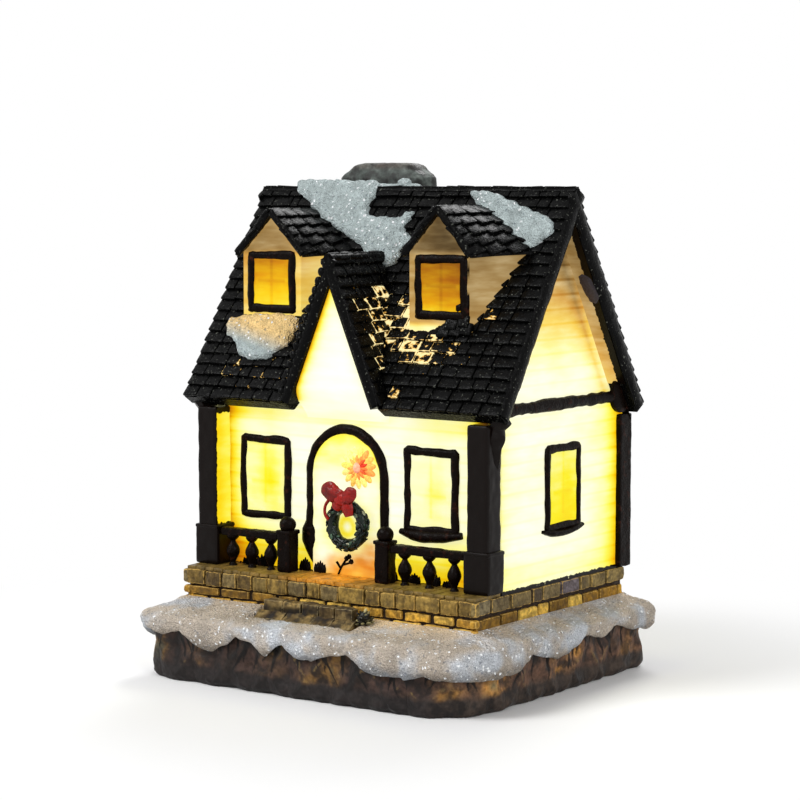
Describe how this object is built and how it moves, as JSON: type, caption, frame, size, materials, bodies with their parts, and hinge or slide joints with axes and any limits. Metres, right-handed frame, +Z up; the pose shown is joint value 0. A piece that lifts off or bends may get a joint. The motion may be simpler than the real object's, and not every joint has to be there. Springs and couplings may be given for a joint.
{
  "type": "house night light",
  "caption": "Small cast resin winter cottage that glows from inside, with a battery light, slide switch and screwed battery door in its base.",
  "frame": {"origin": "middle of the overall footprint, on the table under the base", "axes": "+Z up, -Y the front with the door, +X the gable end at the right of the front"},
  "size_m": [0.0592, 0.0522, 0.074],
  "materials": {
    "resin_rock": "painted casting resin, satin",
    "resin_snow": "painted casting resin with glitter",
    "resin_masonry": "painted casting resin, matt",
    "lit_resin": "thin translucent resin, lit from inside",
    "lit_amber_resin": "thicker translucent resin, lit from inside",
    "roof_paint": "glossy black paint on resin",
    "trim_paint": "dark brown paint on resin",
    "flower_paint": "orange paint on resin",
    "green_paint": "dark green paint on resin",
    "red_paint": "red paint on resin",
    "white_plastic": "moulded plastic",
    "screw_steel": "plated steel",
    "board_green": "circuit board laminate",
    "black_plastic": "moulded plastic",
    "lamp_resin": "clear lamp resin",
    "red_insulation": "wire insulation"
  },
  "bodies": {
    "house": {"base_rock": "resin_rock", "chimney": "resin_rock", "base_snow": "resin_snow", "roof_snow_centre": "resin_snow", "roof_snow_right": "resin_snow", "roof_snow_left": "resin_snow", "ridge_snow": "resin_snow", "brick_plinth": "resin_masonry", "porch_floor": "resin_masonry", "front_steps": "resin_masonry", "house_walls": "lit_resin", "front_gable_wall": "lit_resin", "door_panel": "lit_resin", "dormer_left_walls": "lit_amber_resin", "dormer_right_walls": "lit_amber_resin", "main_roof": "roof_paint", "front_gable_roof": "roof_paint", "dormer_left_roof": "roof_paint", "dormer_right_roof": "roof_paint", "dormer_left_window": "trim_paint", "dormer_right_window": "trim_paint", "post_front_left": "trim_paint", "post_front_right": "trim_paint", "corner_board_left": "trim_paint", "corner_board_right": "trim_paint", "gable_beam_left": "trim_paint", "gable_beam_right": "trim_paint", "window_front_left": "trim_paint", "window_front_right": "trim_paint", "window_side_left": "trim_paint", "window_side_right": "trim_paint", "window_rear_left": "trim_paint", "window_rear_right": "trim_paint", "door_frame": "trim_paint", "railing_left": "trim_paint", "railing_right": "trim_paint", "newel_left": "trim_paint", "newel_right": "trim_paint", "door_rosette": "flower_paint", "wreath_ring": "green_paint", "shrub": "green_paint", "wreath_bow": "red_paint", "unit_housing": "white_plastic", "unit_cover": "white_plastic", "unit_screw_left": "screw_steel", "unit_screw_right": "screw_steel", "button_cell_1": "screw_steel", "button_cell_2": "screw_steel", "button_cell_3": "screw_steel", "contact_positive": "screw_steel", "contact_negative": "screw_steel", "circuit_board": "board_green", "switch_body": "black_plastic", "wire_black": "black_plastic", "led": "lamp_resin", "wire_red": "red_insulation"},
    "switch_knob": {"switch_knob": "black_plastic"},
    "battery_door": {"battery_door": "white_plastic"},
    "door_screw": {"door_screw": "screw_steel"}
  },
  "joints": [
    {"name": "switch_slide", "type": "slide", "parent": "house", "child": "switch_knob", "axis": [-1, 0, 0], "range_m": [0, 0.0024]},
    {"name": "battery_door_lift", "type": "slide", "parent": "house", "child": "battery_door", "axis": [0, 0, -1], "range_m": [0, 0.012]},
    {"name": "door_screw_turn", "type": "hinge", "parent": "battery_door", "child": "door_screw", "pos_m": [0.00925, 0.0099, 0.0016], "axis": [0, 0, 1], "continuous": true}
  ]
}
